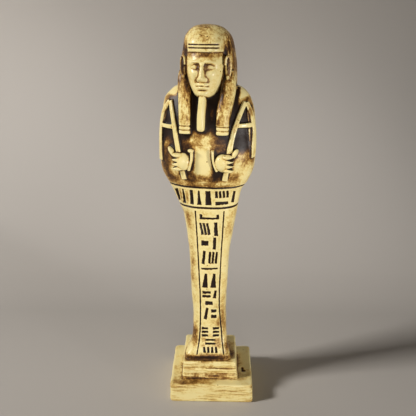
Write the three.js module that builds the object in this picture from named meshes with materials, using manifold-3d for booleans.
// Souvenir ushabti: a mummy-shaped attendant figure on a stepped base, cast in one piece.
// Millimetres, +Z up. The origin is the middle of the base's underside, and the front faces -Y.
import * as THREE from "three";
import { mergeVertices } from "three/addons/utils/BufferGeometryUtils.js";
import Module from "manifold-3d";

const wasm = await Module();
wasm.setup();

// Driving heights, in mm above the underside of the base.
const BASE_TOP = 10.7;
const PLINTH_TOP = 21;
const TOE_TOP = 24.4;
const PANEL_TOP = 108.5;
const BAND_LOW = 110.5;
const BAND_HIGH = 121.7;
const LAPPET_END = 149.3;
const SHOULDER_TOP = 172;
const CHIN = 166.2;
const HAIRLINE = 187.7;
const CROWN = 200;

// The figure turns to its own right above the feet, as the hand-finished model does.
const TURN = THREE.MathUtils.degToRad(-11);
const TURN_TOP = 166;

const COLUMNS = 32; // points round a ring of the figure
const GROOVE = { half: 0.42, depth: 0.55 }; // the cut lines round the waist and beside the panel

const { lerp, smoothstep, clamp } = THREE.MathUtils;

// ---- Curves and solids ----

// A smooth curve through [height, value] stations that keeps within them, and is flat past its ends.
function curve(stations) {
  const last = stations.length - 1;
  const rise = stations.slice(1).map(([z, v], i) => (v - stations[i][1]) / (z - stations[i][0]));
  const tangent = stations.map((_, i) => {
    if (i === 0 || i === last) return rise[Math.min(i, last - 1)];
    const [before, after] = [rise[i - 1], rise[i]];
    return before * after <= 0 ? 0 : (2 * before * after) / (before + after);
  });
  return (height) => {
    const z = clamp(height, stations[0][0], stations[last][0]);
    const next = stations.findIndex(([at], i) => i > 0 && at >= z);
    const [[z0, v0], [z1, v1]] = [stations[next - 1], stations[next]];
    const span = z1 - z0;
    const t = (z - z0) / span;
    const rest = 1 - t;
    return (
      v0 * rest * rest * (1 + 2 * t) +
      v1 * t * t * (3 - 2 * t) +
      span * t * rest * (rest * tangent[next - 1] - t * tangent[next])
    );
  };
}

// Columns of a table with heights in its first column, as one curve for each name.
function profile(names, table) {
  return Object.fromEntries(
    names.map((name, k) => [name, curve(table.map((row) => [row[0], row[k + 1]]))]),
  );
}

// A closed three.js geometry as a solid, turned right side out.
function solidOf(geometry) {
  const bare = geometry.index ? geometry.toNonIndexed() : geometry.clone();
  bare.deleteAttribute("normal");
  bare.deleteAttribute("uv");
  const merged = mergeVertices(bare, 1e-4);
  const corners = merged.index.array;
  const triVerts = [];
  for (let i = 0; i < corners.length; i += 3) {
    const [a, b, c] = corners.slice(i, i + 3);
    if (a !== b && b !== c && c !== a) triVerts.push(a, b, c);
  }
  const make = (faces) =>
    new wasm.Manifold(
      new wasm.Mesh({
        numProp: 3,
        vertProperties: merged.attributes.position.array,
        triVerts: new Uint32Array(faces),
      }),
    );
  const made = make(triVerts);
  return made.volume() < 0 ? make(triVerts.reverse()) : made;
}

// A closed skin over rings of the same number of points, with a flat end on the first and the last.
function skin(rings) {
  const count = rings[0].length;
  const top = (rings.length - 1) * count;
  const index = [];
  for (let j = 0; j < count; j++) {
    const k = (j + 1) % count;
    if (j > 0 && k > 0) index.push(0, k, j, top, top + j, top + k);
    for (let i = 0; i < rings.length - 1; i++) {
      const [low, high] = [i * count, (i + 1) * count];
      index.push(low + j, low + k, high + k, low + j, high + k, high + j);
    }
  }
  return solidOf(new THREE.BufferGeometry().setFromPoints(rings.flat()).setIndex(index));
}

// Equal turns round a ring.
const round = (count) => Array.from({ length: count }, (_, j) => (2 * Math.PI * j) / count);

// A number to a power, keeping its sign.
const signedPower = (value, power) => Math.sign(value) * Math.abs(value) ** power;

// Rings at the given heights, each a superellipse about (x, y) with its own half width, front and back
// depth and power. The relief, where there is one, moves a front point forward.
function loft(shape, heights, angles = round(COLUMNS), relief = () => 0) {
  const at = (name, z, usual) => (shape[name] ? shape[name](z) : usual);
  const rings = heights.map((z) =>
    angles.map((angle) => {
      const power = 2 / at("power", z, 2.4);
      const depth = Math.sin(angle) < 0 ? shape.front(z) : shape.back(z);
      const x = at("x", z, 0) + shape.width(z) * signedPower(Math.cos(angle), power);
      const y = at("y", z, 0) + depth * signedPower(Math.sin(angle), power);
      return new THREE.Vector3(x, Math.sin(angle) < 0 ? y - relief(x, z) : y, z);
    }),
  );
  return skin(rings);
}

// Heights from low to high in equal steps.
const steps = (low, high, count) =>
  Array.from({ length: count + 1 }, (_, i) => lerp(low, high, i / count));

// The four heights that cut a square groove into a loft.
const grooveAt = (z, half = GROOVE.half) => [z - half, z - half / 2, z + half / 2, z + half];

const union = (solids) => solids.reduce((all, one) => all.add(one));
const mirrored = (make) => [make(-1), make(1)];

// ---- The mummy-shaped body ----

const BODY = profile(["x", "width", "front", "back", "power"], [
  [PLINTH_TOP - 1, -0.3, 13.4, 12.6, 10.6, 6],
  [TOE_TOP - 0.5, -0.3, 13.2, 12.7, 10.2, 6],
  [TOE_TOP + 0.1, -0.3, 12.9, 12.4, 10.0, 5.5],
  [27, 0.2, 11.8, 11.4, 9.6, 5],
  [30, 0.6, 10.8, 10.3, 9.2, 4.4],
  [37, 0.7, 9.7, 9.0, 8.6, 3.6],
  [46, 0.6, 9.2, 8.5, 8.5, 3],
  [58, 0.3, 9.7, 8.8, 9.0, 2.7],
  [70, 0.4, 10.3, 9.3, 9.8, 2.6],
  [82, 0.4, 10.8, 9.9, 10.6, 2.5],
  [94, 0.7, 12.3, 10.6, 11.4, 2.4],
  [105, 0.8, 14.1, 11.3, 12.1, 2.3],
  [110, 0.1, 15.5, 11.7, 12.3, 2.3],
  [114, -0.4, 16.7, 12, 12.5, 2.3],
  [119, -0.9, 18.5, 12.7, 12.8, 2.3],
  [123, -0.6, 20.9, 13.5, 12.9, 2.4],
  [128, -0.7, 23.4, 14.7, 13.1, 2.4],
  [132, -0.6, 24.3, 15.3, 13.2, 2.4],
  [137, -0.3, 24.5, 15.6, 13.3, 2.4],
  [143, -0.2, 24.6, 15.4, 13.4, 2.4],
  [151, -0.2, 24.1, 14.4, 13.2, 2.4],
  [159, -0.3, 23.4, 12.2, 12.3, 2.3],
  [165, -0.5, 21.9, 9.9, 11, 2.2],
  [169, -0.1, 18.9, 8, 9.4, 2.1],
  [171.2, 0, 15.5, 6.6, 8, 2],
  [SHOULDER_TOP, 0, 11, 5.6, 6.6, 2],
]);

// The point on the front of the body at (x, z), and the way the surface faces there.
function onBody(x, z) {
  const [width, front, power] = [BODY.width(z), BODY.front(z), BODY.power(z)];
  const across = clamp((x - BODY.x(z)) / width, -0.985, 0.985);
  const forward = (1 - Math.abs(across) ** power) ** (1 / power);
  return {
    point: new THREE.Vector3(BODY.x(z) + width * across, -front * forward, z),
    normal: new THREE.Vector3(
      signedPower(across, power - 1) / width,
      -(forward ** (power - 1)) / front,
      0,
    ).normalize(),
  };
}

function body() {
  const grooves = [BAND_LOW, BAND_HIGH].flatMap((z) => grooveAt(z));
  const heights = [
    PLINTH_TOP - 1,
    TOE_TOP - 0.5,
    TOE_TOP + 0.1,
    27,
    ...steps(31, 106, 6),
    ...grooves,
    116,
    ...steps(125, 165, 6),
    169,
    171.2,
    SHOULDER_TOP,
  ];
  const sunk = (value) => (z) => {
    const near = Math.min(Math.abs(z - BAND_LOW), Math.abs(z - BAND_HIGH));
    return value(z) - (near < GROOVE.half * 0.75 ? GROOVE.depth : 0);
  };
  const shape = {
    ...BODY,
    width: sunk(BODY.width),
    front: sunk(BODY.front),
    back: sunk(BODY.back),
  };
  return loft(shape, heights.sort((a, b) => a - b));
}

// ---- Wig: hair down the back to a hem, a brow piece, and two lappets on the chest ----

const BROW = profile(["x", "width", "front", "back", "power"], [
  [HAIRLINE, 0.3, 9.5, 14.4, 4, 3],
  [191, 0.3, 9.7, 14.1, 4, 3],
  [194, 0.1, 9.8, 12.9, 4, 2.7],
  [196.4, -0.2, 9.2, 11, 4, 2.3],
  [198.3, -0.5, 7.6, 8.5, 4, 2],
  [199.5, -0.7, 4.8, 5.2, 4, 2],
]);
const HAIR = profile(["x", "width", "front", "back", "power"], [
  [151, 0, 12.9, 5, 15.0, 2.6],
  [160, 0, 13.6, 5.5, 14.4, 2.5],
  [168, 0, 13.9, 6.5, 13.9, 2.4],
  [173, 0, 13.9, 8.0, 14.0, 2.4],
  [177, 0, 13.8, 10.2, 14.1, 2.5],
  [183, 0, 13.4, 10.6, 14.3, 2.5],
  [189, 0, 12.4, 10.2, 13.9, 2.5],
  [194, -0.1, 11.3, 11.2, 12.6, 2.3],
  [196.4, -0.3, 9.9, 10.6, 10.9, 2],
  [198.3, -0.5, 7.8, 8.5, 8.4, 2],
  [199.5, -0.7, 5, 5.3, 5.3, 2],
  [CROWN, -0.8, 1.5, 1.5, 1.5, 2],
]);
// The two lappets are not quite a pair: the figure's left one is wider.
const LAPPETS = {
  [-1]: profile(["x", "y", "width", "front", "back", "power"], [
    [LAPPET_END, -8.8, -13.6, 2.9, 2.8, 4, 3.4],
    [156, -9.0, -12.9, 2.9, 3.0, 4, 3.4],
    [162, -9.3, -11.4, 3.1, 3.0, 4, 3.2],
    [168, -9.8, -9.4, 3.2, 3.0, 4, 3],
    [173, -10.4, -8, 3.2, 3.0, 4, 2.8],
    [179, -11, -6, 2.2, 2.2, 4, 2.4],
  ]),
  1: profile(["x", "y", "width", "front", "back", "power"], [
    [LAPPET_END, 9.7, -13.6, 3.0, 2.8, 4, 3.4],
    [156, 9.9, -12.9, 3.2, 3.0, 4, 3.4],
    [162, 10.5, -11.4, 3.6, 3.0, 4, 3.2],
    [168, 11.3, -9.4, 3.6, 3.0, 4, 3],
    [173, 11.9, -8, 3.5, 3.0, 4, 2.8],
    [179, 12, -6, 2.4, 2.2, 4, 2.4],
  ]),
};
const LAPPET_BANDS = [151.2, 153.1];

function lappet(side) {
  const cut = (z) => LAPPET_BANDS.some((band) => Math.abs(z - band) < 0.3);
  const narrowed = (value) => (z) => value(z) - (cut(z) ? 0.5 : 0);
  const plain = LAPPETS[side];
  const shape = { ...plain, width: narrowed(plain.width), front: narrowed(plain.front) };
  const bands = LAPPET_BANDS.flatMap((z) => grooveAt(z, 0.4));
  return loft(shape, [LAPPET_END, ...bands, ...steps(158, 179, 3)], round(10));
}

// The hollow beside the cheek that the ear stands in.
const niche = (side) =>
  solidOf(new THREE.SphereGeometry(1, 10, 8).scale(3.5, 5, 7.6).translate(side * 10.3, -12.4, 180.6));

const wig = () =>
  union([
    loft(BROW, [HAIRLINE, 191, 194, 196.4, 198.3, 199.5], round(20)),
    loft(HAIR, [...steps(151, 169, 3), 174, 180, 186, 191, 194, 196.4, 198.2, 199.4, CROWN], round(24)),
  ])
    .subtract(union(mirrored(niche)))
    .add(union(mirrored(lappet)));

// ---- Head: face, ears, neck and the long beard ----

const FACE = profile(["width", "front", "back", "power"], [
  [CHIN, 2.4, 8.0, 2, 2.3],
  [166.9, 4.1, 9.8, 2, 2.3],
  [168.4, 5.7, 10.6, 2, 2.3],
  [171, 7.2, 10.6, 2, 2.3],
  [174, 8.4, 10.7, 2, 2.3],
  [178, 9.3, 10.8, 2, 2.3],
  [182, 9.6, 10.8, 2, 2.3],
  [185, 9.5, 10.2, 2, 2.3],
  [187, 9.3, 9.2, 2, 2.3],
  [190, 8.8, 8.4, 2, 2.3],
]);
const FACE_Y = -4.6;
const EYE = { x: 3.4, z: 180.6, half: 1.95, tall: 0.85 };
const MOUTH = { z: 172.3, half: 2.7 };
const NOSE_RISE = curve([
  [174.2, 0],
  [174.9, 2.2],
  [175.8, 3.1],
  [177.5, 2.5],
  [180, 1.5],
  [182, 0.8],
  [183.6, 0],
]);
const NOSE_HALF = curve([
  [174.2, 2.3],
  [175.8, 2.1],
  [180, 1.6],
  [183.6, 2],
]);

// A soft bump of height 1 about (x0, z0).
const bump = (x, z, x0, z0, spreadX, spreadZ) =>
  Math.exp(-(((x - x0) / spreadX) ** 2) - ((z - z0) / spreadZ) ** 2);

// How far the features stand out of the plain egg of the face.
function faceRelief(signedX, z) {
  const x = Math.abs(signedX);
  const nose = NOSE_RISE(z) * Math.cos((Math.min(x / NOSE_HALF(z), 1) * Math.PI) / 2) ** 1.5;
  const socket = 1.1 * bump(x, z, EYE.x, EYE.z, 2.3, 1.7);
  const lens = 1 - ((x - EYE.x) / EYE.half) ** 2 - ((z - EYE.z) / EYE.tall) ** 2;
  const ball = 0.9 * Math.sqrt(Math.max(lens, 0));
  const brow = 0.45 * bump(x, z, 3.4, 183.3, 2.6, 0.8);
  const lips =
    0.75 * bump(x, z, 0, MOUTH.z + 0.75, MOUTH.half, 0.6) +
    0.8 * bump(x, z, 0, MOUTH.z - 0.8, MOUTH.half * 0.8, 0.65);
  const chin = 0.6 * bump(x, z, 0, 168.9, 2.2, 1.3);
  const cheek = 0.35 * bump(x, z, 4.9, 177.2, 2, 2.4);
  return nose - socket + ball + brow + lips + chin + cheek;
}

function face() {
  const heights = [CHIN, 166.9, 168.6, ...steps(170.6, 183.8, 14), 187, 190];
  const front = steps(1.04 * Math.PI, 1.96 * Math.PI, 24);
  return loft({ ...FACE, y: () => FACE_Y }, heights, [...front, 0.5 * Math.PI], faceRelief);
}

const BEARD = profile(["x", "y", "width", "front", "back", "power"], [
  [150.6, -0.7, -14.6, 1.3, 2.0, 2.5, 2.4],
  [151.4, -0.7, -14.6, 1.9, 2.8, 3, 2.6],
  [155, -0.6, -14.4, 2.0, 2.9, 3.2, 2.8],
  [162, -0.3, -13.6, 1.9, 2.9, 3.4, 2.8],
  [169, 0, -12.4, 1.8, 2.6, 3.4, 2.6],
]);
const NECK = profile(["width", "front", "back"], [
  [160, 7.2, 9.6, 4],
  [176, 6.6, 8.4, 4],
]);

// An ear: a shallow dish with a rolled rim, standing in front of the wig.
const EAR = { y: -9.4, z: 180.4, wide: 1.3, tall: 5.4, roll: 0.62 };
const EAR_X = { [-1]: 10.2, 1: 11.2 };
function ear(side) {
  const rim = new THREE.CatmullRomCurve3(
    steps(-0.42, 1.12, 7).map((turn) => {
      const angle = turn * Math.PI;
      return new THREE.Vector3(
        EAR.wide * Math.sin(angle) * (1 + 0.3 * Math.cos(angle)),
        -0.4,
        EAR.tall * Math.cos(angle) * 0.95,
      );
    }),
  );
  const section = new THREE.Shape().absarc(0, 0, EAR.roll, 0, 2 * Math.PI);
  const roll = new THREE.ExtrudeGeometry(section, { steps: 7, extrudePath: rim, curveSegments: 3 });
  const dish = new THREE.SphereGeometry(1, 8, 6).scale(EAR.wide, 2.4, EAR.tall);
  const placed = (geometry) =>
    geometry
      .rotateZ(THREE.MathUtils.degToRad(30))
      .scale(side, 1, 1)
      .translate(side * EAR_X[side], EAR.y, EAR.z);
  return union([solidOf(placed(roll)), solidOf(placed(dish).translate(0, 1.2, 0))]);
}

const head = () =>
  union([
    loft(NECK, [160, 168, 176], round(16)),
    face(),
    loft(BEARD, [150.6, 151.4, 156, 162, 169], round(12)),
    ...mirrored(ear),
  ]);

// ---- Bars laid on the body: hoes, cuffs and the cloth over the forearms ----

// A bar along [x, z] points on the front of the body. It stands proud by lift and is let in by sink;
// its half width changes evenly from start to end.
function bar(points, halfStart, halfEnd, lift, sink, pieces = 4) {
  const path = new THREE.SplineCurve(points.map(([x, z]) => new THREE.Vector2(x, z)));
  const rings = steps(0, 1, pieces).map((t) => {
    const [at, way] = [path.getPoint(t), path.getTangent(t).multiplyScalar(0.2)];
    const { point, normal } = onBody(at.x, at.y);
    const along = onBody(at.x + way.x, at.y + way.y).point.sub(point);
    const side = along.cross(normal).normalize().multiplyScalar(lerp(halfStart, halfEnd, t));
    const corner = (across, out) =>
      point.clone().addScaledVector(side, across).addScaledVector(normal, out);
    return [corner(-1, -sink), corner(1, -sink), corner(0.85, lift), corner(-0.85, lift)];
  });
  return skin(rings);
}

// The two hoes are not quite a pair. For each: x of the apex, of the blade, and of the handle halfway
// down and at its foot, then the height of the tie and of the blade's end.
const HOES = [
  { side: -1, apex: 17.9, reach: 22.7, middle: 14.1, foot: 9.7, tie: 151.9, end: 134.2 },
  { side: 1, apex: 19.6, reach: 23.4, middle: 15.1, foot: 10.4, tie: 153.3, end: 137 },
];
const APEX = 164.2;

function hoe({ side, apex, reach, middle, foot, tie, end }) {
  const on = (points) => points.map(([x, z]) => [side * x, z]);
  const blade = [[apex, APEX], [reach - 1.2, 157.5], [reach, 148], [reach - 0.1, end]];
  const handle = [[apex - 0.6, APEX], [middle, 151.5], [foot, 126]];
  return union([
    bar(on(blade), 1.2, 2.0, 1.1, 1.5, 6),
    bar(on(handle), 1.1, 1.4, 1.4, 2.2, 6),
    bar(on([[middle, tie], [reach, tie]]), 1.15, 1.15, 0.9, 1.5, 3),
  ]);
}

// The sunk ground inside a hoe, between its blade and its handle.
const hoeGround = ({ side, apex }) =>
  bar([[side * (apex - 0.2), APEX - 1.5], [side * 18.8, 151], [side * 18.2, 143]], 0.6, 3.4, 1.5, 0.8, 4);

// The cloth that swells over the crossed forearms, and the cuff from which each fist comes out.
const CLOTH = { x: 0, y: -14.3, z: 137, halfX: 6, halfY: 1.9, halfZ: 12 };

const forearms = () =>
  union([
    solidOf(
      new THREE.SphereGeometry(1, 10, 8)
        .scale(CLOTH.halfX, CLOTH.halfY, CLOTH.halfZ)
        .translate(CLOTH.x, CLOTH.y, CLOTH.z),
    ),
    ...mirrored((side) =>
      bar([[side * 5.1, 141.6], [side * 5.3, 137], [side * 6.9, 131.2]], 0.6, 0.6, 2.2, 2, 4),
    ),
  ]);

// ---- Fists ----

const FIST = { x: 10.5, y: -15.4, z: 135.4 };
const FINGERS = 4;
const FINGER_PITCH = 2.2;

function fist(side) {
  const knob = (x, y, z, halfX, halfY, halfZ, tilt = 0) =>
    solidOf(
      new THREE.SphereGeometry(1, 8, 5)
        .scale(halfX, halfY, halfZ)
        .rotateY(tilt)
        .scale(side, 1, 1)
        .translate(side * (FIST.x + x), FIST.y + y, FIST.z + z),
    );
  const fingers = Array.from({ length: FINGERS }, (_, i) =>
    knob(2.1, -0.4, (1.5 - i) * FINGER_PITCH, 2.9, 2.5, 1.25),
  );
  return union([
    knob(-0.4, 0, 0, 4.3, 3.2, 4.5),
    ...fingers,
    knob(5, 1.2, 4.3, 1.2, 2.6, 3.3, 0.6),
  ]);
}

// ---- Cut lines and the inscription's strokes ----

const PANEL = profile(["x", "half"], [
  [TOE_TOP, 1.2, 7.5],
  [34, 1.4, 6.2],
  [55, 1.0, 5.2],
  [75, 1.2, 5.8],
  [PANEL_TOP, 2.0, 7.4],
]);

// A stroke is [x, rise above its row, length, lean from upright in half turns, half width, taper].
const upright = (x, count, pitch, tall, half, lean = 0, taper = 0.8) =>
  Array.from({ length: count }, (_, i) => [x + (i - (count - 1) / 2) * pitch, 0, tall, lean, half, taper]);
const stacked = (x, count, pitch, wide, half, lean = 0.5) =>
  Array.from({ length: count }, (_, i) => [x, (i - (count - 1) / 2) * pitch, wide, lean, half, 0.8]);

// The column's rows, from the waist down: ranks of plain strokes, none of them a sign.
const ROWS = [
  [105.6, stacked(0, 1, 0, 10.2, 1.1)],
  [98.8, upright(-2.4, 3, 1.8, 6.6, 0.68, -0.05), upright(3.4, 1, 0, 7.6, 1)],
  [90.6, stacked(-2.4, 1, 0, 3.6, 1.5), upright(2.7, 1, 0, 6.8, 0.85, 0.02)],
  [82.2, upright(-3, 1, 0, 7.8, 0.75, 0.04), upright(1.9, 3, 1.75, 6.8, 0.62, 0.03)],
  [75.6, stacked(0, 1, 0, 9.2, 0.5, 0.49)],
  [68.4, upright(0, 2, 4.5, 8.4, 1.5, 0.03, 0.4)],
  [60, stacked(-1.7, 2, 2.4, 4.4, 0.75), upright(3, 1, 0, 4.6, 0.75, 0.05)],
  [54.6, stacked(-0.4, 1, 0, 4, 1.2)],
  [48, upright(-2.1, 1, 0, 7, 0.8, 0.06), stacked(2.1, 2, 3.4, 2.8, 1)],
  [36.9, stacked(-3.2, 3, 2.1, 3.4, 0.66), stacked(3, 3, 2.1, 3.4, 0.66)],
  [31.2, stacked(-0.1, 1, 0, 5.6, 1.15)],
  [26.9, upright(-0.1, 4, 2.2, 2.9, 0.66, -0.04)],
];
const BAND_ROWS = [
  [0, upright(-14.9, 1, 0, 6.8, 1, -0.09, 1.6), upright(-11.3, 1, 0, 7.8, 0.95, -0.02, 0.4)],
  [0, upright(-6.9, 1, 0, 7.8, 0.95), upright(-3, 1, 0, 7.8, 1.1, 0, 0.2), upright(1.7, 1, 0, 7.6, 1.5)],
  [2, upright(8.7, 4, 1.8, 3.7, 0.66)],
  [0, upright(14.2, 1, 0, 6.4, 1, 0.08)],
  [-2.9, stacked(8.7, 1, 0, 6.8, 0.9)],
];
const STROKE_DEPTH = 0.6;

function stroke(x, z, length, lean, half, taper) {
  const [dx, dz] = [(Math.sin(lean * Math.PI) * length) / 2, (Math.cos(lean * Math.PI) * length) / 2];
  return bar([[x - dx, z - dz], [x + dx, z + dz]], half, half * taper, 1, STROKE_DEPTH, 1);
}

function inscription() {
  const band = (BAND_LOW + BAND_HIGH) / 2;
  const column = ROWS.flatMap(([z, ...groups]) =>
    groups.flat().map(([x, rise, ...rest]) => stroke(PANEL.x(z) + x, z + rise, ...rest)),
  );
  const round = BAND_ROWS.flatMap(([z, ...groups]) =>
    groups.flat().map(([x, rise, ...rest]) => stroke(x, band + z + rise, ...rest)),
  );
  return union([...column, ...round]);
}

function panelLines() {
  const line = (side) => {
    const points = steps(TOE_TOP, PANEL_TOP, 6).map((z) => [PANEL.x(z) + side * PANEL.half(z), z]);
    return bar(points, GROOVE.half, GROOVE.half, 1, GROOVE.depth, 9);
  };
  return union(mirrored(line));
}

// ---- Stepped base ----

const PLINTH = profile(["x", "width", "front", "back", "power"], [
  [BASE_TOP - 0.7, 1.0, 15.8, 15.4, 15.5, 14],
  [BASE_TOP + 0.9, 1.0, 15.6, 15.2, 15.3, 14],
  [16.2, 0.9, 15.1, 14.8, 15, 14],
  [20.3, 0.8, 14.8, 14.5, 14.8, 14],
  [PLINTH_TOP, 0.8, 14.4, 14.1, 14.4, 13],
]);
const PLINTH_LINES = [
  { z: 16.9, half: 0.5, depth: 0.35 },
  { z: 13.5, half: 0.45, depth: 0.3 },
];
const BASE = profile(["x", "width", "front", "back", "power"], [
  [0, 2.0, 22.6, 21.2, 19.2, 18],
  [0.6, 2.0, 23.0, 21.6, 19.6, 18],
  [BASE_TOP - 0.6, 1.9, 22.8, 21.4, 19.4, 18],
  [BASE_TOP, 1.9, 22.2, 20.8, 18.8, 16],
]);

function steppedBase() {
  const cut = (z) => PLINTH_LINES.find((line) => Math.abs(z - line.z) < line.half * 0.75)?.depth ?? 0;
  const inset = (value) => (z) => value(z) - cut(z);
  const shape = {
    ...PLINTH,
    width: inset(PLINTH.width),
    front: inset(PLINTH.front),
    back: inset(PLINTH.back),
  };
  const lines = PLINTH_LINES.flatMap(({ z, half }) => grooveAt(z, half));
  const levels = [BASE_TOP - 0.7, BASE_TOP + 0.9, ...lines, 20.3, PLINTH_TOP].sort((a, b) => a - b);
  return loft(shape, levels, round(24)).add(loft(BASE, [0, 0.6, BASE_TOP - 0.6, BASE_TOP], round(24)));
}

// ---- The whole casting ----

// Moves a solid so that the middle of its bounding box is on the upright axis.
function centred(solid) {
  const { min, max } = solid.boundingBox();
  return solid.translate([-(min[0] + max[0]) / 2, -(min[1] + max[1]) / 2, 0]);
}

// Narrows the feet towards the heels, and turns the figure about its upright axis, more and more from
// the feet to the head.
const HEEL = { taper: 0.2, low: 26, high: 44 };
function turned(solid) {
  return solid.warp((point) => {
    const [, y, z] = point;
    const foot = 1 - smoothstep(z, HEEL.low, HEEL.high);
    const x = point[0] * (1 - (HEEL.taper * foot * (y + 12.5)) / 22);
    const angle = TURN * smoothstep(z, PLINTH_TOP, TURN_TOP);
    point[0] = x * Math.cos(angle) - y * Math.sin(angle);
    point[1] = x * Math.sin(angle) + y * Math.cos(angle);
  });
}

function geometryOf(solid) {
  const { vertProperties, triVerts, numProp } = solid.getMesh();
  const corners = new THREE.InterleavedBuffer(vertProperties, numProp);
  const geometry = new THREE.BufferGeometry()
    .setAttribute("position", new THREE.InterleavedBufferAttribute(corners, 3, 0))
    .setIndex(new THREE.BufferAttribute(triVerts, 1))
    .toNonIndexed();
  geometry.computeVertexNormals();
  return geometry;
}

const figure = body()
  .subtract(union(HOES.map(hoeGround)))
  .add(union([wig(), head(), forearms(), ...HOES.map(hoe), ...mirrored(fist)]))
  .subtract(panelLines())
  .subtract(inscription());

const resin = new THREE.MeshStandardMaterial({ color: 0xe2cd92, roughness: 0.42, metalness: 0 });
const whole = centred(turned(figure).add(steppedBase()));
const figurine = new THREE.Mesh(geometryOf(whole), resin);
figurine.name = "ushabti_figurine";

const model = new THREE.Group();
model.add(figurine);
export default model;
